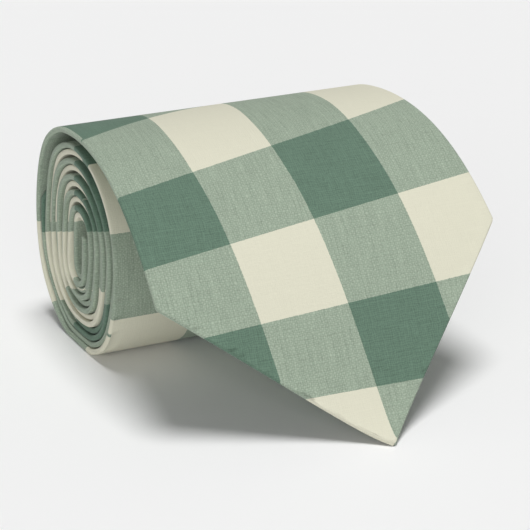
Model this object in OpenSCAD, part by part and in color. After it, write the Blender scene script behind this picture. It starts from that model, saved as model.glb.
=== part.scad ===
// A necktie, folded in half at the neck, rolled up from the fold and set down with
// the wide end of its front blade hanging forward onto the table.
// +X runs along the roll to the wide blade's right, -Y is the front, +Z is up.
// The origin is the middle of the footprint, on the table.
// Every strip follows one path through the roll, measured in s, the length from the tip.

/* [Blades] */
// Width of the front blade at its corners
blade_w = 100; // [90:1:110]
// Length of the front blade's point, from tip to corners
point_len = 51; // [45:1:60]
// Width that the front blade loses per millimetre of length
blade_taper = 0.096; // [0.085:0.001:0.1]
// Width of the neck band
neck_w = 34; // [30:1:38]
// Width of the tail blade at its corners
tail_w = 48; // [40:1:55]
// Length of the tail blade's point
tail_point_len = 24; // [18:1:30]

/* [Layers] */
// Thickness of the made-up tie
tie_t = 1.65; // [1.6:0.05:1.7]
// Thickness of the outer cloth, folded and pressed
cloth_t = 0.4; // [0.3:0.05:0.4]
// Thickness of the interlining
lining_t = 0.5; // [0.4:0.05:0.5]
// Thickness of the tipping
tipping_t = 0.2; // [0.15:0.05:0.25]
// Width of the hem turned in along the points
hem_w = 9; // [6:1:12]

/* [Roll] */
// Radius of the outermost doubled strap at the side of the roll
roll_r = 27.5; // [26:0.5:29]
// Radius lost in one turn
wrap_pitch = 4.2; // [4.1:0.1:4.5]
// Half of the straight stretch that the first flat fold leaves in the roll
core_stretch = 5.6; // [4:0.2:7]
// Lean of the flat core towards the front, in degrees
core_lean = 12; // [6:1:14]
// How far the core has settled below the middle of the outer turn
core_drop = 1.8; // [0:0.2:1.8]
// Turns from the top of the roll to the fold at its core
turns = 5.8; // [5.6:0.1:5.9]
// Gap between the two halves of the folded tie
half_gap = 0.35; // [0.3:0.05:0.4]

/* [Flap] */
// Angle behind the top of the roll where the flap's curve starts, in degrees
takeoff = 20; // [10:1:25]
// Distance from the roll's centre forward to the tip
reach = 90; // [84:1:96]
// Length of the curve's handle at the roll
roll_handle = 64; // [56:1:70]
// Length of the curve's handle at the tip
tip_handle = 16; // [10:1:20]
// Length from the tip to the line where the point folds
point_fold = 34; // [28:1:38]
// Length from the tip to the line where the flap lifts
flap_fold = 104; // [98:1:108]

/* [Trim] */
// Length from the tip to the bar tack that closes the back seam
tack_at = 92; // [86:1:96]
// Length from the tip to the keeper loop
keeper_at = 232; // [220:1:250]
// Width of the keeper loop, along the tie
keeper_w = 12; // [10:1:16]
// Reach of the keeper loop across the blade
keeper_span = 52; // [46:1:56]
// Length from the tip to the join of front blade and neck
front_join = 700; // [660:5:740]
// Length from the tip to the join of neck and tail
tail_join = 980; // [940:5:1020]

/* [Hidden] */

GREEN = "#6b8271";
CREAM = "#dbd9c5";
SAGE = "#9ca997";
THREAD = "#c9c8b4";
WOOL = "#e8e4d8";

step = 15;                     // degrees of roll between two stations
fold_gap = 0.3;                // opening left at each fold line
seam_gap = 0.6;                // slit along the back seam
seam_len = 0.6;                // length of a joining seam
half_off = (tie_t + half_gap) / 2;
roll_skew = 0.095;             // sideways drift of the roll's left end per mm of depth
flap_skew = 0.064;             // sideways drift of the flap's left edge per mm
end_step = 1.2;                // how far the outer turn stands out at the left end
tail_recess = 0.8;             // how far the tail half sits in from the left end
rest_sag = 1.2;                // depth of roll pressed flat where it rests
rest_fade = 12;                // height over which that pressing fades out
rest_r = 24;                   // radius of the roll's underside
curve_steps = 60;
flap_bow = 0.0002;             // bow of the flap's left edge per mm squared
lining_join = 0.56;            // share of the tie's length where the two interlinings meet
tail_tack_back = 62;           // length from the tail's tip to its bar tack
hem_show = 1.4;                // most of the hem left showing beside the opening, in hem widths

function clamp(v, lo, hi) = max(lo, min(hi, v));
function smooth(k) = let (c = clamp(k, 0, 1)) c * c * (3 - 2 * c);
function unit(v) = v / norm(v);
function left_of(v) = [-v[1], v[0]];
function sorted(a) = len(a) < 2 ? a : let (p = a[floor(len(a) / 2)]) concat(
    sorted([for (v = a) if (v < p) v]), [p], sorted([for (v = a) if (v > p) v]));
function lengths(p) = [for (i = 0, l = 0; i < len(p);
    l = l + (i < len(p) - 1 ? norm(p[i + 1] - p[i]) : 0), i = i + 1) l];

// --- the doubled strap's spiral, in (y, z), before it rests on the table ---
function strap(a) = let (
    k = a / 360,
    rho = roll_r - wrap_pitch * k,
    p = rho * sin(a),
    q = rho * cos(a) + core_stretch * sin(90 * clamp(1.5 * cos(a), -1, 1))
        - core_drop * k / turns)
    [p * cos(core_lean) - q * sin(core_lean), q * cos(core_lean) + p * sin(core_lean)];
function strap_dir(a) = unit(strap(a + 0.2) - strap(a - 0.2));
function loose(a, off) = strap(a) + off * left_of(strap_dir(a));

// --- the roll's underside pressed flat on the table ---
under = [for (a = [160 : 1 : 210]) loose(a, half_off)];
low = min([for (p = under) p[1]]);
low_y = [for (p = under) if (p[1] == low) p[0]][0];
function press(p) = let (
    h = p[1] - low,
    lift = max(0, rest_sag - pow(p[0] - low_y, 2) / (2 * rest_r)),
    z = p[1] + 0.9 * lift * clamp(1 - h / rest_fade, 0, 1))
    [p[0], max(z, low + rest_sag) - low - rest_sag + tie_t / 2];

// --- the flap's curve, from the tip up to the roll ---
off_pt = press(loose(takeoff, half_off));
off_dir = unit(press(loose(takeoff - 0.2, half_off)) - off_pt);
tip_pt = [-reach, tie_t / 2];
function bezier(t) = tip_pt * pow(1 - t, 3) + 3 * (tip_pt + [tip_handle, 0.8]) * t * pow(1 - t, 2)
    + 3 * (off_pt + roll_handle * off_dir) * t * t * (1 - t) + off_pt * pow(t, 3);
flap_curve = [for (i = [0 : curve_steps]) bezier(i / curve_steps)];
flap_run = lengths(flap_curve);
flap_len = flap_run[curve_steps];
flap_y = [for (i = [0 : curve_steps]) [flap_run[i], flap_curve[i][0]]];
flap_z = [for (i = [0 : curve_steps]) [flap_run[i], flap_curve[i][1]]];

// --- left edge of the front blade over the flap, and its point ---
function roll_left(a, p, recess) = -roll_skew * p[0] + end_step * smooth((a - 150) / 140) + recess;
off_left = roll_left(takeoff, off_pt, 0);
function flap_left(s) = off_left + flap_skew * (flap_len - s) - flap_bow * pow(flap_len - s, 2);
grain = (flap_left(point_len + 2) - flap_left(point_len)) / 2 - blade_taper / 2;
left_corner = point_len + grain * blade_w / 2;
right_corner = point_len - grain * blade_w / 2;
tip_x = flap_left(point_len) + blade_w / 2 - grain * point_len;

flap_stops = sorted([0, 4, 9, 15, 21, 27, point_fold, left_corner, right_corner, 64, 74, 84,
    tack_at, flap_fold, (flap_fold + flap_len) / 2]);
end_a = 360 * turns;
fold_c = press(strap(end_a));
fold_n = left_of(strap_dir(end_a));
fold_t = strap_dir(end_a);

// --- stations of the whole tie: [y, z, left edge x] ---
stops = concat(
    [for (s = flap_stops) [lookup(s, flap_y), lookup(s, flap_z), flap_left(s)]],
    [[off_pt[0], off_pt[1], off_left]],
    [for (a = [step * ceil((takeoff + 4) / step) : step : end_a - 4])
        let (p = press(loose(a, half_off))) [p[0], p[1], roll_left(a, p, 0)]],
    [for (b = [0 : 45 : 180])
        let (p = fold_c + half_off * (cos(b) * fold_n + sin(b) * fold_t))
        [p[0], p[1], roll_left(end_a, p, tail_recess * b / 180)]],
    [for (a = [step * floor((end_a - 4) / step) : -step : 45])
        let (p = press(loose(a, -half_off))) [p[0], p[1], roll_left(a, p, tail_recess)]]);
count = len(stops);
path = [for (p = stops) [p[0], p[1]]];
run = lengths(path);
tie_len = run[count - 1];
face = [for (i = [0 : count - 1]) left_of(unit(
    unit(path[min(i + 1, count - 1)] - path[min(i, count - 2)])
    + unit(path[max(i, 1)] - path[max(i - 1, 0)])))];
path_y = [for (i = [0 : count - 1]) [run[i], path[i][0]]];
path_z = [for (i = [0 : count - 1]) [run[i], path[i][1]]];
face_y = [for (i = [0 : count - 1]) [run[i], face[i][0]]];
face_z = [for (i = [0 : count - 1]) [run[i], face[i][1]]];
edge_x = [for (i = [0 : count - 1]) [run[i], stops[i][2]]];

// --- outline of the made-up tie: width, edges and the back seam ---
tail_corner = tie_len - tail_point_len;
function width(s) = s < 0.6 * tie_len
    ? max(neck_w, blade_w - blade_taper * max(0, s - point_len))
    : neck_w + (tail_w - neck_w) * clamp((s - tail_join) / (tail_corner - tail_join), 0, 1);
function middle(s) = s < point_len ? tip_x + grain * s : lookup(s, edge_x) + width(s) / 2;
function left(s) = s < left_corner
    ? tip_x - 0.3 + (lookup(left_corner, edge_x) - tip_x) * s / left_corner
    : lookup(s, edge_x) + (s > tail_corner ? (tail_w / 2 - 0.3) * tail_part(s) : 0);
function right(s) = s < right_corner
    ? tip_x + 0.3 + (lookup(right_corner, edge_x) + width(right_corner) - tip_x) * s / right_corner
    : lookup(s, edge_x) + width(s) - (s > tail_corner ? (tail_w / 2 - 0.3) * tail_part(s) : 0);
function tail_part(s) = (s - tail_corner) / tail_point_len;
tail_tack_at = tie_len - tail_tack_back;
// Half-width of the opening in the back, from 1 at the corners to 0 at the bar tack
function opening(s) = max(clamp((tack_at - s) / (tack_at - right_corner), 0, 1),
    clamp((s - tail_tack_at) / (tail_corner - tail_tack_at), 0, 1));
function back_left(s) = let (m = middle(s), l = left(s), h = min(hem_show * hem_w, (m - l) * 0.6))
    m - seam_gap / 2 * min(1, (m - l) / 3) - (m - l - h) * opening(s);
function back_right(s) = let (m = middle(s), r = right(s), h = min(hem_show * hem_w, (r - m) * 0.6))
    m + seam_gap / 2 * min(1, (r - m) / 3) + (r - m - h) * opening(s);

// --- sweeping: a section is a list of [x, depth below the face] for a given s ---
function place(s, p) = let (d = tie_t / 2 - p[1])
    [p[0], lookup(s, path_y) + d * lookup(s, face_y), lookup(s, path_z) + d * lookup(s, face_z)];
module sweep(from, to, section) {
    stations = concat([from], [for (s = run) if (s > from + 0.3 && s < to - 0.3) s], [to]);
    n = len(stations);
    m = len(section(from));
    points = [for (s = stations) for (p = section(s)) place(s, p)];
    sides = [for (i = [0 : n - 2]) for (j = [0 : m - 1]) let (a = i * m + j, b = i * m + (j + 1) % m)
        each [[a, b, b + m], [a, b + m, a + m]]];
    cap = m == 4 ? SLAB_CAP : SHELL_CAP;
    near = [for (q = cap) [for (j = [3 : -1 : 0]) q[j]]];
    far = [for (q = cap) [for (j = q) (n - 1) * m + j]];
    translate([-mid_x, -mid_y, 0]) polyhedron(points, concat(sides, near, far), convexity = 12);
}
// The end faces of a slab and of the shell's C section, split into convex quads
SLAB_CAP = [[0, 1, 2, 3]];
SHELL_CAP = [[1, 2, 3, 4], [0, 1, 4, 5], [0, 5, 6, 11], [6, 7, 10, 11], [7, 8, 9, 10]];
function slab(x0, x1, d0, d1) = [[x0, d0], [x0, d1], [x1, d1], [x1, d0]];
// The outer cloth: face, two turned edges and two back panels that meet at the seam
shell = function (s) let (
    l = left(s), r = right(s), bl = back_left(s), br = back_right(s),
    c = min(cloth_t, (middle(s) - l) / 4), lo = cloth_t, hi = tie_t - cloth_t)
    [[l, 0], [l, tie_t], [bl, tie_t], [bl, hi], [l + c, hi], [l + c, lo],
     [r - c, lo], [r - c, hi], [br, hi], [br, tie_t], [r, tie_t], [r, 0]];
lining = function (s) slab(left(s) + 0.6, right(s) - 0.6, cloth_t + 0.05, cloth_t + 0.05 + lining_t);
tipping = function (s) slab(
    max(left(s) + 0.7, back_left(s) - 4),
    min(right(s) - 0.7, back_right(s) + 4),
    tie_t - cloth_t - tipping_t - 0.02,
    tie_t - cloth_t - 0.02);
thread = function (s) slab(middle(s) - 0.15, middle(s) + 0.15, tie_t - 0.3, tie_t);
module patch(from, to, x_mid, half_x, d0, d1) {
    sweep(from, to, function (s) slab(x_mid - half_x, x_mid + half_x, d0, d1));
}

mid_x = (min([for (p = stops) p[2]]) + right(right_corner)) / 2;
back_y = max([for (i = [0 : count - 1]) path[i][0] + tie_t / 2 * face[i][0]]);
mid_y = (min([for (p = path) p[0]]) + back_y) / 2;

// --- pieces in the roll ---
module front_blade_shell() {
    color(GREEN) sweep(flap_fold + fold_gap / 2, front_join - seam_len / 2, shell);
}
module neck_shell() {
    color(GREEN) sweep(front_join + seam_len / 2, tail_join - seam_len / 2, shell);
}
module tail_blade_shell() {
    color(CREAM) sweep(tail_join + seam_len / 2, tie_len, shell);
}
module front_interlining() {
    color(WOOL) sweep(flap_fold + fold_gap / 2, lining_join * tie_len, lining);
}
module tail_interlining() {
    color(WOOL) sweep(lining_join * tie_len, tie_len - 1.2, lining);
}
module front_join_seam() {
    color(THREAD) sweep(front_join - seam_len / 2, front_join + seam_len / 2, shell);
}
module tail_join_seam() {
    color(THREAD) sweep(tail_join - seam_len / 2, tail_join + seam_len / 2, shell);
}
module tail_tipping() {
    color(SAGE) sweep(tail_tack_at, tie_len - 1.5, tipping);
}
module front_slip_stitch() {
    color(THREAD) sweep(flap_fold + 1, front_join - seam_len / 2, thread);
}
module neck_slip_stitch() {
    color(THREAD) sweep(front_join + seam_len / 2, tail_join - seam_len / 2, thread);
}
module tail_slip_stitch() {
    color(THREAD) sweep(tail_join + seam_len / 2, tail_tack_at - 1.2, thread);
}
module tail_bar_tack() {
    color(THREAD) patch(tail_tack_at - 1, tail_tack_at + 1, middle(tail_tack_at), 3, tie_t, tie_t + 0.15);
}
module keeper_loop() {
    x = middle(keeper_at);
    color(SAGE) patch(keeper_at - keeper_w / 2, keeper_at + keeper_w / 2, x, keeper_span / 2,
        tie_t, tie_t + 0.28);
}
module keeper_tacks() {
    x = middle(keeper_at);
    color(THREAD) for (side = [-1, 1])
        patch(keeper_at - 3, keeper_at + 3, x + side * (keeper_span / 2 + 0.6), 0.6, tie_t, tie_t + 0.28);
}
module care_tab() {
    color(WOOL) patch(keeper_at + 12, keeper_at + 28, middle(keeper_at + 20), 11, tie_t, tie_t + 0.2);
}
module care_tab_stitch() {
    color(THREAD) patch(keeper_at + 28, keeper_at + 28.6, middle(keeper_at + 20), 11, tie_t, tie_t + 0.2);
}

// --- pieces on the lifting flap ---
module flap_shell() {
    color(GREEN) sweep(point_fold + fold_gap / 2, flap_fold - fold_gap / 2, shell);
}
module flap_interlining() {
    color(WOOL) sweep(point_fold + fold_gap / 2, flap_fold - fold_gap / 2, lining);
}
module flap_tipping() {
    color(SAGE) sweep(point_fold + fold_gap / 2, tack_at + 6, tipping);
}
module front_bar_tack() {
    color(THREAD) patch(tack_at - 1, tack_at + 1, middle(tack_at), 4, tie_t, tie_t + 0.25);
}

// --- pieces on the point, which turns up on its own ---
module point_shell() {
    color(CREAM) sweep(0, point_fold - fold_gap / 2, shell);
}
module point_interlining() {
    color(WOOL) sweep(2.5, point_fold - fold_gap / 2, lining);
}
module point_tipping() {
    color(SAGE) sweep(3.5, point_fold - fold_gap / 2, tipping);
}
module point_tipping_stitch() {
    color(THREAD) for (side = [-1, 1])
        sweep(9, point_fold - fold_gap / 2, function (s) let (
            x = side < 0 ? back_left(s) - 0.8 : back_right(s) + 0.8)
            slab(x - 0.15, x + 0.15, tie_t, tie_t + 0.15));
}

front_blade_shell();
neck_shell();
tail_blade_shell();
front_interlining();
tail_interlining();
front_join_seam();
tail_join_seam();
tail_tipping();
front_slip_stitch();
neck_slip_stitch();
tail_slip_stitch();
tail_bar_tack();
keeper_loop();
keeper_tacks();
care_tab();
care_tab_stitch();
flap_shell();
flap_interlining();
flap_tipping();
front_bar_tack();
point_shell();
point_interlining();
point_tipping();
point_tipping_stitch();
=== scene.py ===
"""A gingham necktie, folded at the neck, rolled up, with its wide end hanging forward.

Lengths are in millimetres up to place(), which turns them into metres in the shared frame.
Every strip follows one path through the roll, measured in s, the length from the wide tip.
"""
import math

import bpy
import numpy as np
from mathutils import Matrix, Vector


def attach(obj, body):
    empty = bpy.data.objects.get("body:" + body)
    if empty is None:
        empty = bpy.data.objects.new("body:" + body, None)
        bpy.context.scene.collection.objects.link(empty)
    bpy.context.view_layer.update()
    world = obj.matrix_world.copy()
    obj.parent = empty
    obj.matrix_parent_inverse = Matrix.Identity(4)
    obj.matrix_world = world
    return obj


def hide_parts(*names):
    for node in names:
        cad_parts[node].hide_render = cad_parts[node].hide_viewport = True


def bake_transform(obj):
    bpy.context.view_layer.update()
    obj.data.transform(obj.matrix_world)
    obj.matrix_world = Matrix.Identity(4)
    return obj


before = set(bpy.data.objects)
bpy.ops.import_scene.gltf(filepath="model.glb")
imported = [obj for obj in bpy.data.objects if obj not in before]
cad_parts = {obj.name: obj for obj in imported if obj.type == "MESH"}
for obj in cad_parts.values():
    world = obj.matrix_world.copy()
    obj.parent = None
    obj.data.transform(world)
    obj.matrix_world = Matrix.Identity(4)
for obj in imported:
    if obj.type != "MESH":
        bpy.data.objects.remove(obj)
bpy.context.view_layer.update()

# --- the made-up tie, as part.scad has it ---
BLADE_W, POINT_LEN, TAPER = 100.0, 51.0, 0.096
NECK_W, TAIL_W, TAIL_POINT = 34.0, 48.0, 24.0
TIE_T, CLOTH_T, LINING_T, TIPPING_T, HEM_W = 1.65, 0.4, 0.5, 0.2, 9.0
ROLL_R, PITCH, STRETCH, LEAN, DROP, TURNS = 27.5, 4.2, 5.6, math.radians(12), 1.8, 5.8
HALF_GAP = 0.35
TAKEOFF, REACH, ROLL_HANDLE, TIP_HANDLE = 20.0, 90.0, 64.0, 16.0
POINT_FOLD, FLAP_FOLD, TACK_AT = 34.0, 104.0, 92.0
KEEPER_AT, KEEPER_W, KEEPER_SPAN = 232.0, 12.0, 52.0
FRONT_JOIN, TAIL_JOIN = 700.0, 980.0
ROLL_SKEW, FLAP_SKEW, FLAP_BOW, END_STEP, RECESS = 0.095, 0.064, 0.0002, 1.2, 0.8
REST_SAG, REST_FADE, REST_R = 1.2, 12.0, 24.0
LINING_JOIN, TAIL_TACK_BACK, HEM_SHOW = 0.56, 62.0, 1.4
SEAM_GAP, SEAM_LEN = 0.6, 0.6
STRETCH_GAIN, REST_SHARE, TIP_RISE = 1.5, 0.9, 0.8
STEP_FROM, STEP_OVER = 150, 140  # degrees wound, over which the roll's end steps in
INNER_END = 45  # degrees wound at the tail's end
TAPER_END = 0.6  # share of the length past which the tie widens again
HALF_OFF = (TIE_T + HALF_GAP) / 2
ORIGIN_X, ORIGIN_Y = 50.009, -30.6252  # the shared frame's origin, in the path's coordinates
CHECK = 25.0  # width of one check


def smooth(k):
    c = np.clip(k, 0, 1)
    return c * c * (3 - 2 * c)


def rise(s, start, over):
    return smooth((s - start) / over)


def strap(a):
    a = np.asarray(a, float)
    k, r = a / 360, np.radians(a)
    rho = ROLL_R - PITCH * k
    p = rho * np.sin(r)
    q = rho * np.cos(r) + STRETCH * np.sin(np.pi / 2 * np.clip(STRETCH_GAIN * np.cos(r), -1, 1))
    q = q - DROP * k / TURNS
    return np.stack([p * np.cos(LEAN) - q * np.sin(LEAN), q * np.cos(LEAN) + p * np.sin(LEAN)], -1)


def strap_dir(a):
    d = strap(a + 0.2) - strap(a - 0.2)
    return d / np.linalg.norm(d, axis=-1, keepdims=True)


def left_of(v):
    return np.stack([-v[..., 1], v[..., 0]], -1)


def loose(a, off):
    return strap(a) + off * left_of(strap_dir(a))


UNDER = loose(np.arange(160.0, 211.0), HALF_OFF)
LOW, LOW_Y = UNDER[:, 1].min(), UNDER[UNDER[:, 1].argmin(), 0]


def press(p):
    h = p[..., 1] - LOW
    lift = np.maximum(0, REST_SAG - (p[..., 0] - LOW_Y) ** 2 / (2 * REST_R))
    z = p[..., 1] + REST_SHARE * lift * np.clip(1 - h / REST_FADE, 0, 1)
    z = np.maximum(z, LOW + REST_SAG) - LOW - REST_SAG + TIE_T / 2
    return np.stack([p[..., 0], z], -1)


def roll_left(a, p, recess):
    return -ROLL_SKEW * p[..., 0] + END_STEP * rise(a, STEP_FROM, STEP_OVER) + recess


def lengths(p):
    return np.concatenate([[0], np.cumsum(np.hypot(*np.diff(p, axis=0).T))])


OFF_PT = press(loose(TAKEOFF, HALF_OFF))
OFF_DIR = press(loose(TAKEOFF - 0.2, HALF_OFF)) - OFF_PT
OFF_DIR /= np.linalg.norm(OFF_DIR)
TIP_PT = np.array([-REACH, TIE_T / 2])
OFF_LEFT = roll_left(TAKEOFF, OFF_PT, 0.0)
SHARE = np.linspace(0, 1, 241)[:, None]
FLAP = (
    TIP_PT * (1 - SHARE) ** 3
    + 3 * (TIP_PT + [TIP_HANDLE, TIP_RISE]) * SHARE * (1 - SHARE) ** 2
    + 3 * (OFF_PT + ROLL_HANDLE * OFF_DIR) * SHARE * SHARE * (1 - SHARE)
    + OFF_PT * SHARE**3
)
FLAP_RUN = lengths(FLAP)
FLAP_LEN = FLAP_RUN[-1]


def flap_left(s):
    return OFF_LEFT + FLAP_SKEW * (FLAP_LEN - s) - FLAP_BOW * (FLAP_LEN - s) ** 2


END_A = 360 * TURNS
OUT_A, IN_A = np.arange(TAKEOFF + 1, END_A, 1.0), np.arange(END_A - 1, INNER_END, -1.0)
OUT, IN = press(loose(OUT_A, HALF_OFF)), press(loose(IN_A, -HALF_OFF))
# the half turn at the neck, where the outer half folds back into the inner one
FOLD_AT, FOLD_DIR = press(strap(END_A)), strap_dir(np.array(END_A))
FOLD_A = np.arange(0, 181, 15.0)
TURN = FOLD_AT + HALF_OFF * (
    np.cos(np.radians(FOLD_A))[:, None] * left_of(FOLD_DIR)
    + np.sin(np.radians(FOLD_A))[:, None] * FOLD_DIR
)
PATH = np.concatenate([FLAP, OUT, TURN, IN])
EDGE = np.concatenate([
    flap_left(FLAP_RUN),
    roll_left(OUT_A, OUT, 0),
    roll_left(END_A, TURN, RECESS * FOLD_A / 180),
    roll_left(IN_A, IN, RECESS),
])
RUN = lengths(PATH)
TIE_LEN = RUN[-1]
FACE = np.gradient(PATH, RUN, axis=0)
FACE = left_of(FACE / np.linalg.norm(FACE, axis=1, keepdims=True))
# degrees wound so far, at each point of the path
WOUND = np.concatenate([np.zeros(len(FLAP)), OUT_A, np.full(len(TURN), END_A), IN_A])
TURN_S = RUN[len(FLAP) + len(OUT)]  # where the outer half ends and the fold at the neck starts
TAIL_CORNER = TIE_LEN - TAIL_POINT
TAIL_TACK_AT = TIE_LEN - TAIL_TACK_BACK


def width(s):
    front = np.maximum(NECK_W, BLADE_W - TAPER * np.maximum(0, s - POINT_LEN))
    tail = NECK_W + (TAIL_W - NECK_W) * np.clip((s - TAIL_JOIN) / (TAIL_CORNER - TAIL_JOIN), 0, 1)
    return np.where(s < TAPER_END * TIE_LEN, front, tail)


def edge(s):
    return np.interp(s, RUN, EDGE)


GRAIN = (flap_left(POINT_LEN + 2) - flap_left(POINT_LEN)) / 2 - TAPER / 2
LEFT_CORNER = POINT_LEN + GRAIN * BLADE_W / 2
RIGHT_CORNER = POINT_LEN - GRAIN * BLADE_W / 2
TIP_X = flap_left(POINT_LEN) + BLADE_W / 2 - GRAIN * POINT_LEN
TIP_ROUND = 1.5
TIP_START = TIP_ROUND * (math.sqrt(2) - 1) + 0.02


def round_tip(s):
    """Half-width of the rounded tip, and wider than the blade once past it."""
    h = TIP_ROUND * math.sqrt(2) - s
    return np.where(s > TIP_ROUND, 99.0, np.sqrt(np.maximum(TIP_ROUND**2 - h * h, 0.01)))


def tail_cut(s):
    return np.where(s > TAIL_CORNER, (TAIL_W / 2 - 0.3) * (s - TAIL_CORNER) / TAIL_POINT, 0)


def middle(s):
    return np.where(s < POINT_LEN, TIP_X + GRAIN * s, edge(s) + width(s) / 2)


def left(s):
    point = TIP_X + (edge(LEFT_CORNER) - TIP_X) * s / LEFT_CORNER
    point = np.maximum(point, middle(s) - round_tip(s))
    return np.where(s < LEFT_CORNER, point, edge(s) + tail_cut(s))


def right(s):
    corner = edge(RIGHT_CORNER) + width(RIGHT_CORNER)
    point = TIP_X + (corner - TIP_X) * s / RIGHT_CORNER
    point = np.minimum(point, middle(s) + round_tip(s))
    return np.where(s < RIGHT_CORNER, point, edge(s) + width(s) - tail_cut(s))


def opening(s):
    front = np.clip((TACK_AT - s) / (TACK_AT - RIGHT_CORNER), 0, 1)
    tail = np.clip((s - TAIL_TACK_AT) / (TAIL_CORNER - TAIL_TACK_AT), 0, 1)
    return np.maximum(front, tail)


def back_edge(s, side):
    """The inner edge of a back panel, left of the seam for side -1 and right of it for side 1."""
    m = middle(s)
    half = (m - left(s)) if side < 0 else (right(s) - m)
    hem = np.minimum(HEM_SHOW * HEM_W, half * 0.6)
    return m + side * (SEAM_GAP / 2 * np.minimum(1, half / 3) + (half - hem) * opening(s))


def place(s, x, depth):
    """Points of the shared frame, in metres, from length along the tie, x and depth below the face."""
    d = TIE_T / 2 - depth
    y = np.interp(s, RUN, PATH[:, 0]) + d * np.interp(s, RUN, FACE[:, 0])
    z = np.interp(s, RUN, PATH[:, 1]) + d * np.interp(s, RUN, FACE[:, 1])
    return np.stack([(x - ORIGIN_X) / 1000, (y - ORIGIN_Y) / 1000, z / 1000], -1)


# --- the checks: (k, j) counts columns and rows, and an even one is green ---
# The constants below were fitted so that the checks lie where they are seen to lie.
HORIZON = 128.0  # past this length from the tip, about the roll's top, rows are evenly spaced
COLUMN_X, COLUMN_LEAN, COLUMN_ROUND = 58.4, 0.125, 12.0  # the line between the two middle columns
COLUMN_FADE_FROM, COLUMN_FADE = 80.0, 14.0  # where that line starts to straighten, and over what
COLUMN_W, COLUMN_GROWTH = 25.6, 1.2  # a column's width at that line, and how it grows to the right
ROW_W, ROW_GROWTH, ROW_START = 21.9, 1.7, 16.9  # the same for the rows, and where the first one ends
FAN_X, FAN_LEAN, FAN_SPREAD = 55.0, 0.07, 0.0031  # rows lean, and are wider to the right of FAN_X
ROW_SLACK_FROM, ROW_SLACK = 96.0, 0.47  # the row over the top of the roll is longer
HORIZON_ROUND, SLACK_ROUND = 6, 5
LEFT_LIMIT = -1.985  # the flap's left fold stays in its own green column
EDGE_COLUMN, COLUMN_DRIFT = -1.95, 0.98  # the roll's left edge in columns, and its drift round the back
DRIFT_FROM, DRIFT_OVER = 150, 70
# a row's edge on the second layer, that row's number, and the width of the rows before it
SECOND_LAYER, SECOND_ROW, SECOND_ROW_W = 272.0, 11, 26.4
COLUMNS_PASS, ROWS_PASS = (100, 30), (112, 128)  # start and length of the passage from flap to roll
BACK_SHIFT, BACK_PASS = 0.68, (110, 20)  # the back panels' rows are shifted
RIM_BACK_FROM, RIM_FROM, RIM_END = 84, 96, 240.0
RIM_COLUMN, RIM_GREEN_ROW, FIRST_RIM_ROW = -2.5, 4.02, 4.1
RIM_LIGHT, RIM_ROW, RIM_ROW_W = 169.0, 5, 170.0  # where the outer turn's left fold turns from green to light
LEFT_BACK, LEFT_FOLD, OUTER_FACE, RIGHT_FOLD, RIGHT_BACK = range(5)  # the parts of the folded cloth


def ramp(s, start, roundness):
    """Zero before start and s - start after it, with a rounded corner."""
    return roundness * np.log1p(np.exp(np.clip((s - start) / roundness, -30, 30)))


def count(distance, size, growth):
    """How many checks fit in a distance, when the first is about size wide and each is wider."""
    return (np.sqrt(np.maximum(size**2 + 2 * growth * distance, 1)) - size) / growth


def flap_checks(s, x):
    fading = COLUMN_FADE * (1 - np.exp(-np.maximum(s - COLUMN_FADE_FROM, 0) / COLUMN_FADE))
    reach = np.where(s < COLUMN_FADE_FROM, s, COLUMN_FADE_FROM + fading)
    line = COLUMN_X - COLUMN_LEAN * (np.hypot(reach, COLUMN_ROUND) - COLUMN_ROUND)
    k = count(x - line, COLUMN_W, COLUMN_GROWTH)
    across = x - FAN_X
    past = ramp(s, HORIZON, HORIZON_ROUND)
    near = s - past
    along = (near + FAN_LEAN * across) / (1 + FAN_SPREAD * across)
    along = along - ROW_SLACK * ramp(near, ROW_SLACK_FROM, SLACK_ROUND)
    j = count(along - ROW_START, ROW_W, ROW_GROWTH)
    return np.maximum(k, LEFT_LIMIT), j + past / CHECK


def roll_checks(s, x):
    k = (x - edge(s)) / CHECK + EDGE_COLUMN + COLUMN_DRIFT * rise(s, DRIFT_FROM, DRIFT_OVER)
    stretch = np.where(s < SECOND_LAYER, 1, SECOND_ROW_W / CHECK)
    return k, SECOND_ROW + (s - SECOND_LAYER) / SECOND_ROW_W * stretch


def checks(s, x, kind):
    ka, ja = flap_checks(s, x)
    kb, jb = roll_checks(s, x)
    wk, wj = rise(s, *COLUMNS_PASS), rise(s, *ROWS_PASS)
    k, j = ka * (1 - wk) + kb * wk, ja * (1 - wj) + jb * wj
    back = (kind == LEFT_BACK) | (kind == RIGHT_BACK)
    j = j + np.where(back, BACK_SHIFT * rise(s, *BACK_PASS), 0)
    # the outer turn's left fold and what lies behind it: a pale column from the first green row on,
    # so that the colour changes where a row does
    behind = (kind == LEFT_BACK) & (s > RIM_BACK_FROM)
    fold = (kind == LEFT_FOLD) & (j >= RIM_GREEN_ROW) & (s > RIM_FROM)
    rim = (behind | fold) & (s < RIM_END)
    rows = RIM_ROW + (s - RIM_LIGHT) / np.where(s < RIM_LIGHT, RIM_ROW_W, CHECK)
    return np.where(rim, RIM_COLUMN, k), np.where(rim, np.maximum(rows, FIRST_RIM_ROW), j)


# The roll's left end, seen as a disc: heights are measured along a line that leans by END_LEAN
END_FROM = 292.0  # length past which folds belong to the roll's end
END_LEAN, GREEN_TOP, PALE_TOP = 0.36, 14.0, 17.7
GREEN_ROW, PALE_ROW = 21.6, 20.9
SPLIT_Y, SPLIT_LEAN, SPLIT_Z, SPLIT_W = 2.6, 0.136, 29.0, 28.0  # the line between left and right


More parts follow.
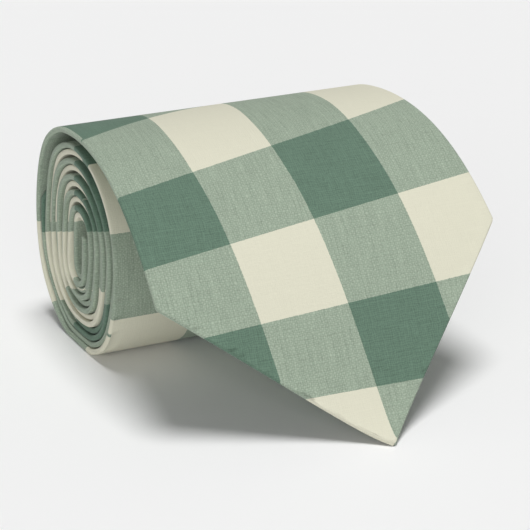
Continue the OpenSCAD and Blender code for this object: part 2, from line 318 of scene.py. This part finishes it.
def end_checks(s, y, z):
    """The folds that show at the roll's left end: alternating above, in groups of turns below."""
    w = z + END_LEAN * y
    inner, turn = s > TURN_S, np.floor(np.interp(s, RUN, WOUND) / 360)
    k = np.clip((SPLIT_Y - SPLIT_LEAN * (z - SPLIT_Z) - y) / SPLIT_W, -0.95, 0.95)
    j = np.clip((w - GREEN_TOP) / GREEN_ROW + 1, 0.05, 2.95)
    low = w < PALE_TOP
    k = np.where(inner & ~low, -0.5, k)
    j = np.where(inner & ~low, np.clip((w - PALE_TOP) / PALE_ROW + 2, 1.05, 3.95), j)
    outermost = inner & (turn < 1)
    k = np.where(outermost, 0.5, k)
    j = np.where(outermost, np.clip((w - GREEN_TOP) / GREEN_ROW + 1, 1.05, 2.95), j)
    k = np.where(low & (turn == 2), -0.5, np.where(low & (turn > 2), 0.5, k))
    return k, np.where(low & (turn >= 2), 1.5, j)


# --- meshes ---
def grid_mesh(name, points, uvs):
    """A closed tube from rows of ring points, capped at both ends.

    Each of uvs is a layer's name, one pair per point, and other pairs for some of the cells or None.
    """
    n, m = points.shape[:2]
    i, j = np.meshgrid(np.arange(n - 1), np.arange(m), indexing="ij")
    a, b = i * m + j, i * m + (j + 1) % m
    quads = np.stack([a, b, b + m, a + m], -1).reshape(-1, 4)
    faces = [tuple(q) for q in quads.tolist()]
    for base, turn in ((0, False), ((n - 1) * m, True)):
        for c in range(m // 2 - 1):
            f = [base + c, base + m - 1 - c, base + m - 2 - c, base + c + 1]
            faces.append(tuple(f[::-1] if turn else f))
    mesh = bpy.data.meshes.new(name)
    mesh.from_pydata(points.reshape(-1, 3).tolist(), [], faces)
    mesh.update()
    corner = np.zeros(len(mesh.loops), np.int32)
    mesh.loops.foreach_get("vertex_index", corner)
    for layer, pair, override in uvs:
        data = pair.reshape(-1, 2)[corner]
        if override is not None:
            cells, other = override
            pick = np.zeros(len(corner), bool)
            pick[: quads.size] = np.repeat(cells.reshape(-1), 4)
            data = np.where(pick[:, None], other.reshape(-1, 2)[corner], data)
        mesh.uv_layers.new(name=layer).data.foreach_set("uv", data.astype(np.float32).ravel())
    mesh.polygons.foreach_set("use_smooth", np.arange(len(mesh.polygons)) < len(quads))
    mesh.update()
    ob = bpy.data.objects.new(name, mesh)
    bpy.context.scene.collection.objects.link(ob)
    return ob


def stations(start, stop, gap):
    """Even steps, and one close to each end so that the shading runs on into the next piece."""
    s = np.linspace(start, stop, max(3, int(round((stop - start) / gap)) + 1))
    return np.concatenate([s[:1], s[:1] + 0.1, s[1:-1], s[-1:] - 0.1, s[-1:]])


FACE_N, ARC_N, BACK_N = 22, 8, 8
ROUND_FOLD = 2.6  # how much cloth goes round a fold
SKIN_SHARE = 0.55  # the cloth takes up at most this share of a fold's radius
PANEL_LEAST = 0.05  # a back panel's least width
PRESSED, PRESS_PASS = 0.45, (240, 40)  # the folds in the roll are pressed squarer
WAVER, WAVER_SHORT, WAVER_LONG, WAVER_PASS = 0.25, 7.3, 17.9, (285, 30)  # the roll's ends aren't quite even
TIP_CLOSED = 0.05  # the rounded tip's first row is drawn in to this share
BESIDE_FOLD = 6  # the cloth this near to the left fold counts as part of the roll's end


def shell(name, s, material):
    """The outer cloth: its face, two rounded folds and two back panels, as cloth CLOTH_T thick."""
    s = s[:, None]
    l, r, m = left(s), right(s), middle(s)
    bl, br = back_edge(s, -1), back_edge(s, 1)
    rx = np.minimum(TIE_T / 2, (r - l) / 4)
    skin = np.minimum(CLOTH_T, rx * SKIN_SHARE)
    bl, br = np.maximum(bl, l + rx + PANEL_LEAST), np.minimum(br, r - rx - PANEL_LEAST)
    t, arc = TIE_T, np.linspace(1e-6, math.pi - 1e-6, ARC_N)[None, :]
    press_in = 1 - PRESSED * rise(s, *PRESS_PASS)
    across, down = np.sin(arc) ** press_in, np.sign(np.cos(arc)) * np.abs(np.cos(arc)) ** press_in

    def run_of(inset):
        ax, ad = rx - inset, t / 2 - inset
        k = np.linspace(0, 1, BACK_N)[None, :]
        back_l = bl + (l + rx - bl) * k
        back_r = (r - rx) + (br - r + rx) * k
        face = (l + rx) + (r - rx - l - rx) * np.linspace(0, 1, FACE_N)[None, :]
        x = [back_l, l + rx - ax * across, face, r - rx + ax * across, back_r]
        d = [
            t - inset + 0 * back_l,
            t / 2 + ad * down + 0 * l,
            inset + 0 * face,
            t / 2 - ad * down + 0 * l,
            t - inset + 0 * back_r,
        ]
        return np.concatenate(x, 1), np.concatenate(d, 1)

    (xo, do), (xi, di) = run_of(0 * skin), run_of(skin)
    x, d = np.concatenate([xo, xi[:, ::-1]], 1), np.concatenate([do, di[:, ::-1]], 1)
    kind = np.repeat(
        [LEFT_BACK, LEFT_FOLD, OUTER_FACE, RIGHT_FOLD, RIGHT_BACK], [BACK_N, ARC_N, FACE_N, ARC_N, BACK_N]
    )
    kind = np.concatenate([kind, kind[::-1]])[None, :]
    ss = s + 0 * x
    # the cloth turned over a fold carries on past it, so it is read from its mirror place
    flat_x = np.where(kind == LEFT_BACK, 2 * l - x - ROUND_FOLD, x)
    flat_x = np.where(kind == RIGHT_BACK, 2 * r - x + ROUND_FOLD, flat_x)
    flat_x = np.where(kind == LEFT_FOLD, l + rx - (d / t) * ROUND_FOLD, flat_x)
    flat_x = np.where(kind == RIGHT_FOLD, r - rx + (d / t) * ROUND_FOLD, flat_x)
    k, j = checks(ss, flat_x, kind)
    waver = WAVER * np.sin(ss / WAVER_SHORT) * np.sin(ss / WAVER_LONG + 1) * rise(ss, *WAVER_PASS)
    if s[0, 0] < 1:
        x[0], d[0] = m[0, 0] + (x[0] - m[0, 0]) * TIP_CLOSED, t / 2 + (d[0] - t / 2) * TIP_CLOSED
    points = place(ss, x + waver, d)
    yz = points[..., 1] * 1000 + ORIGIN_Y, points[..., 2] * 1000
    ke, je = end_checks(ss, *yz)
    beside = ((kind == LEFT_BACK) | (kind == OUTER_FACE)) & (np.abs(x - l) < BESIDE_FOLD)
    near = ((kind == LEFT_FOLD) | beside) & (ss > END_FROM)
    cells = near[:-1] & near[1:] & np.roll(near, -1, 1)[:-1]
    uv = np.stack([k, j], -1)
    thread = np.stack([flat_x, ss], -1)
    ob = grid_mesh(name, points, [
        ("checks", uv, (cells, np.stack([ke, je], -1))),
        ("thread", thread, None),
    ])
    ob.data.materials.append(material)
    return ob


CORNER_RISE, CORNER_REACH = 0.2, 0.35  # a strip's softened corners, as shares of its thickness
CORNER_MOST = 0.2  # and their reach as a share of its width, at most


def strip(name, s, x0, x1, d0, d1, material, across):
    """A flat strip of cloth between two edges and two depths, with softened corners."""
    s = s[:, None]
    x0, x1 = np.reshape(x0, (-1, 1)) + 0 * s, np.reshape(x1, (-1, 1)) + 0 * s
    k = np.linspace(0, 1, across + 1)[None, :]
    b = np.minimum((d1 - d0) * CORNER_REACH, (x1 - x0) * CORNER_MOST)
    top = x0 + (x1 - x0) * k
    low = top[:, ::-1]
    x = np.concatenate([
        x0, top[:, :1] + b, top[:, 1:-1], top[:, -1:] - b, x1,
        x1, low[:, :1] - b, low[:, 1:-1], low[:, -1:] + b, x0,
    ], 1)
    mid, soft = (d0 + d1) / 2, CORNER_RISE * (d1 - d0)
    ones = 0 * top[:, :1]
    d = np.concatenate([
        ones + mid - soft, 0 * top + d0, ones + mid - soft,
        ones + mid + soft, 0 * low + d1, ones + mid + soft,
    ], 1)
    ss = s + 0 * x
    ob = grid_mesh(name, place(ss, x, d), [("thread", np.stack([x, ss], -1), None)])
    ob.data.materials.append(material)
    return ob


THREAD_END, THREAD_FLAT = 0.05, 0.7  # a stitch narrows to its ends, and is flatter than it is wide


def stitches(name, ends, radius, material, sides=6, rows=5):
    """Short bowed threads in one mesh; ends are ((s, x, depth), (s, x, depth)) pairs."""
    verts, faces = [], []
    for p, q in ends:
        p, q = np.array(p, float), np.array(q, float)
        k = np.linspace(0, 1, rows)
        at = p + (q - p) * k[:, None]
        along = place(at[:, 0], at[:, 1], at[:, 2])
        fat = radius / 1000 * np.sqrt(np.maximum(1 - (2 * k - 1) ** 4, THREAD_END))
        way = along[-1] - along[0]
        way /= np.linalg.norm(way)
        up = place(at[2:3, 0], at[2:3, 1], at[2:3, 2] - 1)[0] - along[2]
        up /= np.linalg.norm(up)
        out = np.cross(way, up)
        base = len(verts)
        for i in range(rows):
            for g in range(sides):
                w = 2 * math.pi * g / sides
                ring = math.cos(w) * out + THREAD_FLAT * math.sin(w) * up
                verts.append(tuple(along[i] + fat[i] * ring))
        for i in range(rows - 1):
            for g in range(sides):
                a, b = base + i * sides + g, base + i * sides + (g + 1) % sides
                faces.append((a, b, b + sides, a + sides))
        faces.append(tuple(base + g for g in range(sides))[::-1])
        faces.append(tuple(base + (rows - 1) * sides + g for g in range(sides)))
    mesh = bpy.data.meshes.new(name)
    mesh.from_pydata(verts, [], faces)
    mesh.polygons.foreach_set("use_smooth", np.ones(len(mesh.polygons), bool))
    mesh.update()
    ob = bpy.data.objects.new(name, mesh)
    bpy.context.scene.collection.objects.link(ob)
    ob.data.materials.append(material)
    return ob


# --- materials ---
def linear(r, g, b):
    def one(c):
        c = c / 255
        return c / 12.92 if c <= 0.04045 else ((c + 0.055) / 1.055) ** 2.4
    return (one(r), one(g), one(b), 1.0)


GREEN, CREAM = linear(97, 123, 106), linear(219, 217, 197)
MID_THREADS = linear(168, 180, 162), linear(135, 152, 134)
CHECK_PITCH, TOOTH = 0.56, 0.012  # thread spacing, and how far threads stray over a check's edge
WANDER, SHORT_SLUB, LONG_SLUB = 2.6, (0.9, 0.35), (1.6, 0.09)
OVER_SHOWS, SLUB_SHOWS = 0.22, 0.35  # how much the mixed checks vary with the weave and the slubs
LINE_MEAN, LINE_LIGHT, SLUB_LIGHT = 0.64, 0.42, 0.30
CREAM_LIGHT, GREEN_LIGHT = 0.12, 0.88  # light on the threads: faint on cream, and so much more on green


class Nodes:
    """Short names for building a node tree."""

    def __init__(self, name):
        self.mat = bpy.data.materials.new(name)
        self.mat.use_nodes = True
        self.tree = self.mat.node_tree
        self.shader = self.tree.nodes["Principled BSDF"]

    def make(self, kind, inputs=(), out=0, **props):
        n = self.tree.nodes.new(kind)
        for key, value in props.items():
            setattr(n, key, value)
        for key, value in inputs:
            if isinstance(value, bpy.types.NodeSocket):
                self.tree.links.new(value, n.inputs[key])
            else:
                n.inputs[key].default_value = value
        return n.outputs[out]

    def math(self, op, a, b=0.0, c=0.0):
        return self.make("ShaderNodeMath", [(0, a), (1, b), (2, c)], operation=op)

    def mix(self, fac, a, b, blend="MIX"):
        n = self.tree.nodes.new("ShaderNodeMix")
        n.data_type, n.blend_type = "RGBA", blend
        for key, value in ((0, fac), (6, a), (7, b)):
            if isinstance(value, bpy.types.NodeSocket):
                self.tree.links.new(value, n.inputs[key])
            else:
                n.inputs[key].default_value = value
        return n.outputs[2]

    def set(self, **values):
        for key, value in values.items():
            self.shader.inputs[key.replace("_", " ")].default_value = value


def weave(n, pitch):
    """The over and under of a plain weave, the threads either way, and slubs along both directions."""
    uv = n.make("ShaderNodeUVMap", uv_map="thread")
    xyz = n.tree.nodes.new("ShaderNodeSeparateXYZ")
    n.tree.links.new(uv, xyz.inputs[0])
    u, v = xyz.outputs[0], xyz.outputs[1]

    def slub(a, b, detail=2.0):
        stretched = [(0, n.math("MULTIPLY", u, a)), (1, n.math("MULTIPLY", v, b))]
        at = n.make("ShaderNodeCombineXYZ", stretched)
        return n.make("ShaderNodeTexNoise", [("Vector", at), ("Scale", 1.0), ("Detail", detail)])

    def thread(c, wander):
        c = n.math("ADD", c, n.math("MULTIPLY", wander, pitch * WANDER))
        return n.math("SINE", n.math("MULTIPLY", c, math.pi / pitch))

    su, sv = thread(u, slub(*SHORT_SLUB)), thread(v, slub(*SHORT_SLUB[::-1]))
    lines = n.math("MULTIPLY", n.math("ADD", n.math("ABSOLUTE", su), n.math("ABSOLUTE", sv)), 0.5)
    return n.math("MULTIPLY", su, sv), lines, slub(*LONG_SLUB), slub(*LONG_SLUB[::-1])


def check_cloth():
    n = Nodes("check_cloth")
    over, lines, warp, weft = weave(n, CHECK_PITCH)
    uv = n.make("ShaderNodeUVMap", uv_map="checks")
    xyz = n.tree.nodes.new("ShaderNodeSeparateXYZ")
    n.tree.links.new(uv, xyz.inputs[0])

    def green(c, slub):
        # a thread's own wander leaves the edge of a check slightly toothed
        c = n.math("ADD", c, n.math("MULTIPLY", n.math("SUBTRACT", slub, 0.5), TOOTH))
        return n.math("LESS_THAN", n.math("MODULO", n.math("ADD", n.math("FLOOR", c), 100.0), 2.0), 0.5)

    column, row = green(xyz.outputs[0], weft), green(xyz.outputs[1], warp)
    both, either = n.math("MULTIPLY", column, row), n.math("MAXIMUM", column, row)
    drift = n.math("MULTIPLY", n.math("SUBTRACT", weft, warp), SLUB_SHOWS)
    show = n.math("ADD", n.math("MULTIPLY", over, OVER_SHOWS), drift)
    mid = n.mix(n.math("ADD", show, 0.5), *MID_THREADS)
    colour = n.mix(both, n.mix(either, CREAM, mid), GREEN)
    light = n.math("MULTIPLY", n.math("SUBTRACT", lines, LINE_MEAN), LINE_LIGHT)
    slubs = n.math("MULTIPLY", n.math("SUBTRACT", n.math("ADD", warp, weft), 1.0), SLUB_LIGHT)
    strength = n.math("ADD", n.math("MULTIPLY", either, GREEN_LIGHT), CREAM_LIGHT)
    light = n.math("ADD", n.math("MULTIPLY", n.math("ADD", light, slubs), strength), 1.0)
    grey = n.make("ShaderNodeCombineColor", [(0, light), (1, light), (2, light)])
    n.tree.links.new(n.mix(1.0, colour, grey, "MULTIPLY"), n.shader.inputs["Base Color"])
    height = n.math("ADD", lines, n.math("MULTIPLY", n.math("ADD", warp, weft), 0.6))
    bump = n.make("ShaderNodeBump", [("Strength", 0.35), ("Distance", 0.0001), ("Height", height)])
    n.tree.links.new(bump, n.shader.inputs["Normal"])
    n.set(Roughness=0.82, Specular_IOR_Level=0.25, Sheen_Weight=0.12, Sheen_Roughness=0.5)
    return n.mat


def plain_cloth(name, base, pitch, contrast, rough, sheen):
    n = Nodes(name)
    over, lines, warp, weft = weave(n, pitch)
    slubs = n.math("ADD", warp, weft)
    fac = n.math("ADD", n.math("MULTIPLY", over, 0.3), n.math("MULTIPLY", slubs, 0.5))
    dark = tuple(c * (1 - contrast) for c in base[:3]) + (1.0,)
    n.tree.links.new(n.mix(fac, dark, base), n.shader.inputs["Base Color"])
    height = n.math("ADD", over, slubs)
    bump = n.make("ShaderNodeBump", [("Strength", 0.4), ("Distance", 0.00008), ("Height", height)])
    n.tree.links.new(bump, n.shader.inputs["Normal"])
    n.set(Roughness=rough, Specular_IOR_Level=0.3, Sheen_Weight=sheen, Sheen_Roughness=0.5)
    return n.mat


def thread_material():
    n = Nodes("sewing_thread")
    at = n.make("ShaderNodeTexCoord", out=3)
    twist = n.make("ShaderNodeTexWave", [("Vector", at), ("Scale", 900.0), ("Distortion", 1.0)], out=1)
    colour = n.mix(twist, linear(176, 175, 156), linear(206, 204, 186))
    n.tree.links.new(colour, n.shader.inputs["Base Color"])
    bump = n.make("ShaderNodeBump", [("Strength", 0.3), ("Distance", 0.00005), ("Height", twist)])
    n.tree.links.new(bump, n.shader.inputs["Normal"])
    n.set(Roughness=0.6, Specular_IOR_Level=0.35)
    return n.mat


CLOTH = check_cloth()
WOOL = plain_cloth(
    "interlining_wool", linear(226, 221, 206), pitch=0.9, contrast=0.25, rough=0.95, sheen=0.3
)
SATIN = plain_cloth("tipping_cloth", linear(150, 166, 146), pitch=0.25, contrast=0.12, rough=0.42, sheen=0.2)
RIBBON = plain_cloth("tab_ribbon", linear(222, 217, 200), pitch=0.3, contrast=0.15, rough=0.6, sheen=0.1)
THREAD = thread_material()

# --- pieces ---
CUT_LOW, CUT_HIGH = 70.0, 150.0  # where the cloth is divided between pieces, clear of both bends
POINT_BEND, FLAP_BEND = (44.0, 24.0), (121.0, 87.0)  # where each bend starts and ends


def integral(y, s):
    return float((np.diff(s) * (y[1:] + y[:-1]) / 2).sum())


def area_of(s):
    """Flat area of the outer cloth over stations s, its turned panels included, in square metres."""
    turned = (back_edge(s, -1) - left(s)) + (right(s) - back_edge(s, 1))
    return integral(right(s) - left(s) + turned, s) / 1e6


def area_between(s, x0, x1):
    return integral(x1 - x0, s) / 1e6


def settle(ob, slot, nodes, body=None, bend=None, flat=None, area=None, held="folded"):
    """Hides a piece's CAD nodes, and parents it to the body it moves with, or at a bend bakes its place into
    the mesh; its material slot, flat size, area and hold are not used.
    """
    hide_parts(*nodes)
    if bend:
        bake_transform(ob)
    else:
        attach(ob, body)


def cut(s, area):
    """The least rectangle that a piece is cut from: its widest flat width by its length."""
    spread = (right(s) - left(s)) * 2
    long = (s[-1] - s[0]) / 1000
    return (max(float(spread.max()) / 1000, area / long * 1.001), long)


def add_shell(name, start, stop, gap, nodes, **how):
    s = stations(start, stop, gap)
    area = area_of(s)
    settle(shell(name, s, CLOTH), "check_cloth", nodes, flat=cut(s, area), area=area, **how)


AT_POINT = dict(bend=("flap", "point", POINT_BEND))
AT_FLAP = dict(bend=("roll", "flap", FLAP_BEND))
ON_ROLL = dict(body="roll")
add_shell("point_cloth", TIP_START, CUT_LOW, 0.9, ["point_shell"], **AT_POINT)
add_shell("flap_cloth", CUT_LOW, CUT_HIGH, 1.0, ["flap_shell"], **AT_FLAP)
add_shell("blade_cloth", CUT_HIGH, FRONT_JOIN - SEAM_LEN / 2, 1.5, ["front_blade_shell"], **ON_ROLL)
# the neck holds the tightest fold, so it has the closest rows
add_shell("neck_cloth", FRONT_JOIN + SEAM_LEN / 2, TAIL_JOIN - SEAM_LEN / 2, 0.6, ["neck_shell"], **ON_ROLL)
add_shell("tail_cloth", TAIL_JOIN + SEAM_LEN / 2, TIE_LEN - 0.6, 1.5, ["tail_blade_shell"], **ON_ROLL)


# metres, just over the least that a sheet may be declared as
LEAST_SIDE = 0.0101  # metres, the least side given to a strip's flat size


def add_strip(name, start, stop, gap, x0, x1, d0, d1, material, slot, nodes, across=8, held="folded", **how):
    s = stations(start, stop, gap)
    a, b = x0(s) + 0 * s, x1(s) + 0 * s
    ob = strip(name, s, a, b, d0, d1, material, across)
    long, wide = (s[-1] - s[0]) / 1000, float((b - a).max()) / 1000
    flat = (max(wide, LEAST_SIDE), max(long, LEAST_SIDE))
    settle(ob, slot, nodes, flat=flat, area=area_between(s, a, b), held=held, **how)


WOOL_INSET, WOOL_INSET_SHARE, SATIN_LAP = 0.9, 0.2, 4
WOOL_ROOM, SATIN_ROOM = 0.05, 0.02  # between the outer cloth and the layers inside it


def wool_left(s):
    return left(s) + np.minimum(WOOL_INSET, (right(s) - left(s)) * WOOL_INSET_SHARE)


def wool_right(s):
    return right(s) - np.minimum(WOOL_INSET, (right(s) - left(s)) * WOOL_INSET_SHARE)


WOOL_D = (CLOTH_T + WOOL_ROOM, CLOTH_T + WOOL_ROOM + LINING_T)
SATIN_D = (TIE_T - CLOTH_T - TIPPING_T - SATIN_ROOM, TIE_T - CLOTH_T - SATIN_ROOM)
WOOL_END = LINING_JOIN * TIE_LEN
for name, start, stop, gap, nodes, how in (
    ("point_wool", 3.0, CUT_LOW, 1.2, ["point_interlining"], AT_POINT),
    ("flap_wool", CUT_LOW, CUT_HIGH, 1.2, ["flap_interlining"], AT_FLAP),
    ("blade_wool", CUT_HIGH, WOOL_END - 0.1, 1.8, ["front_interlining"], ON_ROLL),
    ("tail_wool", WOOL_END + 0.1, TIE_LEN - 2.2, 0.6, ["tail_interlining"], ON_ROLL),
):
    add_strip(name, start, stop, gap, wool_left, wool_right, *WOOL_D, WOOL, "interlining_wool", nodes, **how)


def satin_left(s):
    return np.maximum(wool_left(s), back_edge(s, -1) - SATIN_LAP)


def satin_right(s):
    return np.minimum(wool_right(s), back_edge(s, 1) + SATIN_LAP)


for name, start, stop, nodes, how in (
    ("point_satin", 4.0, CUT_LOW, ["point_tipping"], AT_POINT),
    ("flap_satin", CUT_LOW, TACK_AT + 6, ["flap_tipping"], AT_FLAP),
    ("tail_satin", TAIL_TACK_AT, TIE_LEN - 2.6, ["tail_tipping"], ON_ROLL),
):
    add_strip(name, start, stop, 1.2, satin_left, satin_right, *SATIN_D, SATIN, "tipping_cloth", nodes, **how)


def around(at, half):
    return lambda s: at - half, lambda s: at + half


KEEPER_X, TAB_X = float(middle(KEEPER_AT)), float(middle(KEEPER_AT + 20))
TAB_W, TAB_FROM, TAB_TO = 22, KEEPER_AT + 12, KEEPER_AT + 28
KEEPER_EDGES, TAB_EDGES = around(KEEPER_X, KEEPER_SPAN / 2), around(TAB_X, TAB_W / 2)
KEEPER_D, TAB_D = (TIE_T + 0.02, TIE_T + 0.3), (TIE_T + 0.02, TIE_T + 0.2)
add_strip(
    "keeper_band", KEEPER_AT - KEEPER_W / 2, KEEPER_AT + KEEPER_W / 2, 0.8, *KEEPER_EDGES, *KEEPER_D,
    SATIN, "tipping_cloth", ["keeper_loop"], across=20, held="stretched", **ON_ROLL,
)
add_strip(
    "care_ribbon", TAB_FROM, TAB_TO, 0.8, *TAB_EDGES, *TAB_D,
    RIBBON, "tab_ribbon", ["care_tab"], across=12, held="laid", **ON_ROLL,
)


def sew(name, ends, nodes, radius, **how):
    settle(stitches(name, ends, radius, THREAD), "sewing_thread", nodes, **how)


def running(start, stop, x_of, depth, pitch, long):
    return [((s, float(x_of(s)), depth), (s + long, float(x_of(s + long)), depth))
            for s in np.arange(start, stop - long, pitch)]


def across_seam(at, half, depth, count, spread):
    x, steps = float(middle(at)), np.linspace(-0.5, 0.5, count) * spread
    return [((at + q, x - half, depth), (at + q, x + half, depth)) for q in steps]


for name, start, stop, node in (
    ("blade_stitches", FLAP_FOLD + 18, FRONT_JOIN - 1, "front_slip_stitch"),
    ("neck_stitches", FRONT_JOIN + 1, TAIL_JOIN - 1, "neck_slip_stitch"),
    ("tail_stitches", TAIL_JOIN + 1, TAIL_TACK_AT - 2, "tail_slip_stitch"),
):
    seam = running(start, stop, middle, TIE_T - 0.1, pitch=7.0, long=4.5)
    sew(name, seam, [node], radius=0.16, **ON_ROLL)
flap_bar = across_seam(TACK_AT, half=4, depth=TIE_T + 0.08, count=6, spread=1.7)
sew("flap_bar", flap_bar, ["front_bar_tack"], radius=0.17, **AT_FLAP)
tail_bar = across_seam(TAIL_TACK_AT, half=3, depth=TIE_T + 0.05, count=6, spread=1.7)
sew("tail_bar", tail_bar, ["tail_bar_tack"], radius=0.12, **ON_ROLL)


def hem_line(side):
    return lambda s: back_edge(s, side) + side * 0.8


hem = []
for q in (-1, 1):
    hem += running(9, POINT_FOLD - 8, hem_line(q), TIE_T + 0.04, pitch=3.4, long=1.9)
sew("hem_stitches", hem, ["point_tipping_stitch"], radius=0.12, **AT_POINT)


def row_of(at, starts, long, depth):
    """Stitches of one length side by side across the tie."""
    return [((at, x, depth), (at, x + long, depth)) for x in starts]


STITCH_LONG, STITCH_STEP, JOIN_INSET = 1.2, 1.8, 4
tacks = []
for q in (-1, 1):
    x = KEEPER_X + q * (KEEPER_SPAN / 2 + 0.6)
    for at in KEEPER_AT - 2.5 + np.arange(6):
        tacks.append(((at, x - 0.7, TIE_T + 0.12), (at, x + 0.7, TIE_T + 0.12)))
sew("keeper_knots", tacks, ["keeper_tacks"], radius=0.14, **ON_ROLL)
starts = TAB_X + np.arange(-10.5, 9.6, STITCH_STEP)
tab_row = row_of(TAB_TO + 0.3, starts, STITCH_LONG, TIE_T + 0.1)
sew("tab_stitches", tab_row, ["care_tab_stitch"], radius=0.1, **ON_ROLL)


def joining(at, name, node):
    """A sewn join: stitches across the face, and the same along each back panel, clear of the back seam."""
    starts = np.arange(float(left(at)) + JOIN_INSET, float(right(at)) - JOIN_INSET - STITCH_LONG, STITCH_STEP)
    off_seam = [x for x in starts if abs(x + STITCH_LONG / 2 - float(middle(at))) > STITCH_LONG]
    ends = row_of(at, starts, STITCH_LONG, 0.12) + row_of(at, off_seam, STITCH_LONG, TIE_T - 0.12)
    sew(name, ends, [node], radius=0.12, **ON_ROLL)


joining(FRONT_JOIN, "front_join_stitches", "front_join_seam")
joining(TAIL_JOIN, "tail_join_stitches", "tail_join_seam")

# --- stage, light and camera ---
stage = Nodes("floor")
stage.set(Base_Color=(0.915, 0.915, 0.915, 1), Roughness=0.9, Specular_IOR_Level=0.1)
FLOOR = 4.0  # metres from the middle to each side
floor_mesh = bpy.data.meshes.new("floor")
corners = [(-FLOOR, -FLOOR, 0), (FLOOR, -FLOOR, 0), (FLOOR, FLOOR, 0), (-FLOOR, FLOOR, 0)]
floor_mesh.from_pydata(corners, [], [(0, 1, 2, 3)])
floor_mesh.materials.append(stage.mat)
floor = bpy.data.objects.new("floor", floor_mesh)
bpy.context.scene.collection.objects.link(floor)

world = bpy.data.worlds.new("studio")
bpy.context.scene.world = world
world.use_nodes = True
background = world.node_tree.nodes["Background"].inputs
background["Color"].default_value = (1, 1, 1, 1)
background["Strength"].default_value = 0.18


def sun(name, travel, strength, spread):
    """Soft light from far away, travelling along the given direction; spread is in degrees."""
    light = bpy.data.lights.new(name, "SUN")
    light.energy, light.angle = strength, math.radians(spread)
    ob = bpy.data.objects.new(name, light)
    ob.rotation_euler = Vector(travel).to_track_quat("-Z", "Y").to_euler()
    bpy.context.scene.collection.objects.link(ob)


sun("overhead", (-0.02, 0.10, -1), strength=2.2, spread=22)
sun("front_fill", (0.42, 0.86, -0.2), strength=1.2, spread=60)

EYE = Vector((-0.1832, -0.4436, 0.2371))
YAW, PITCH_DOWN, TILT = 0.3836, 0.4089, -0.0128  # radians
SENSOR, LENS = 36.0, 128.2619  # millimetres
level = math.cos(PITCH_DOWN)
view = Vector((math.sin(YAW) * level, math.cos(YAW) * level, -math.sin(PITCH_DOWN)))
side = Vector((math.cos(YAW), -math.sin(YAW), 0))
up = side.cross(view)
side_t = math.cos(TILT) * side + math.sin(TILT) * up
up_t = -math.sin(TILT) * side + math.cos(TILT) * up
camera = bpy.data.cameras.new("camera")
camera.sensor_width, camera.lens = SENSOR, LENS
camera.clip_start, camera.clip_end = 0.01, 20
cam = bpy.data.objects.new("camera", camera)
basis = Matrix((side_t, up_t, -view)).transposed().to_4x4()
cam.matrix_world = Matrix.Translation(EYE) @ basis
bpy.context.scene.collection.objects.link(cam)
bpy.context.scene.camera = cam
bpy.context.scene.view_settings.view_transform = "Standard"
